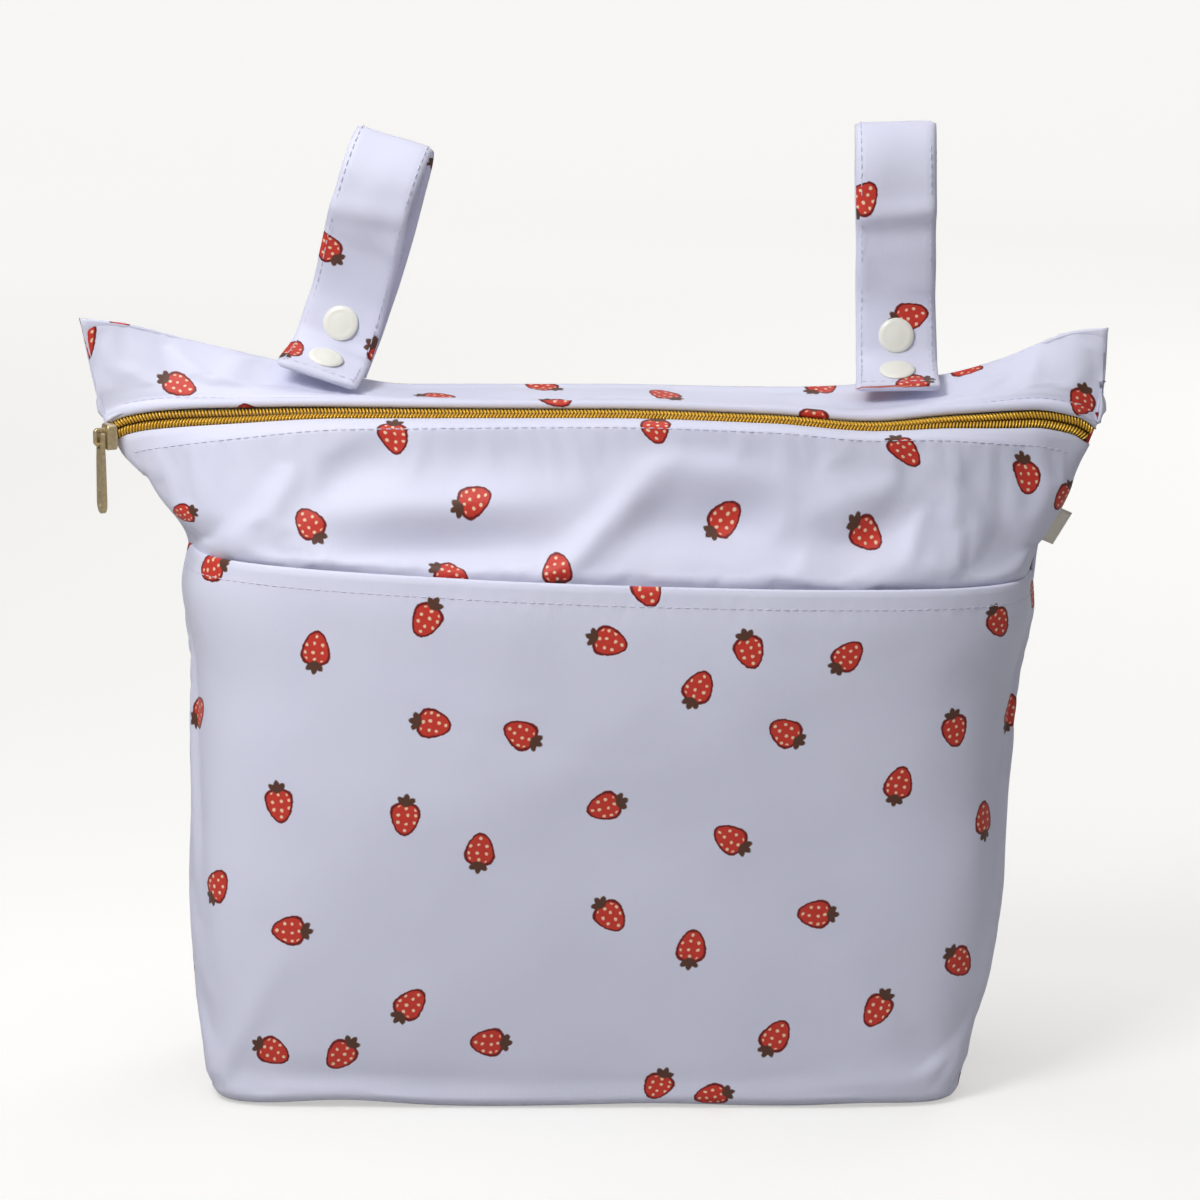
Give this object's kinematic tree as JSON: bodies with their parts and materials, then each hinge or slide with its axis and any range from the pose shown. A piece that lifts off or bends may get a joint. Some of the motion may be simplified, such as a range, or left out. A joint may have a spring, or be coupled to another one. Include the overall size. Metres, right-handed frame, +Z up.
{
  "type": "cloth diaper wet bag",
  "caption": "Zip-top cloth wet bag with a boxed base, an open front pocket and looped snap straps.",
  "frame": {"origin": "middle of the bounding box on the surface that the bag stands on", "axes": "+Z up, -Y towards the pocket side, +X to the right seen from the front"},
  "size_m": [0.359, 0.1172, 0.3389],
  "materials": {
    "cloth": "fine coated weave, soft sheen, scattered berry print",
    "tape": "woven tape",
    "coil": "gold coil",
    "brass": "pale antique gold, satin",
    "snap": "ivory, smooth",
    "label": "bare woven tab"
  },
  "bodies": {
    "bag": {"front_pocket": "cloth", "front_panel": "cloth", "back_panel": "cloth", "top_strip": "cloth", "zipper_tape_front": "tape", "zipper_tape_back": "tape", "zipper_coil_front": "coil", "zipper_coil_back": "coil", "zipper_slider": "brass", "left_strap": "cloth", "left_upper_snap_front": "snap", "left_upper_snap_back": "snap", "left_lower_snap": "snap", "right_strap": "cloth", "right_upper_snap_front": "snap", "right_upper_snap_back": "snap", "right_lower_snap": "snap", "side_label": "label"},
    "pull": {"zipper_pull": "brass"}
  },
  "joints": [
    {"name": "pull_hinge", "type": "hinge", "parent": "bag", "child": "pull", "pos_m": [-0.17245, -0.00781, 0.23178], "axis": [-0.4226, 0.9063, 0], "range_deg": [0, 95]}
  ]
}
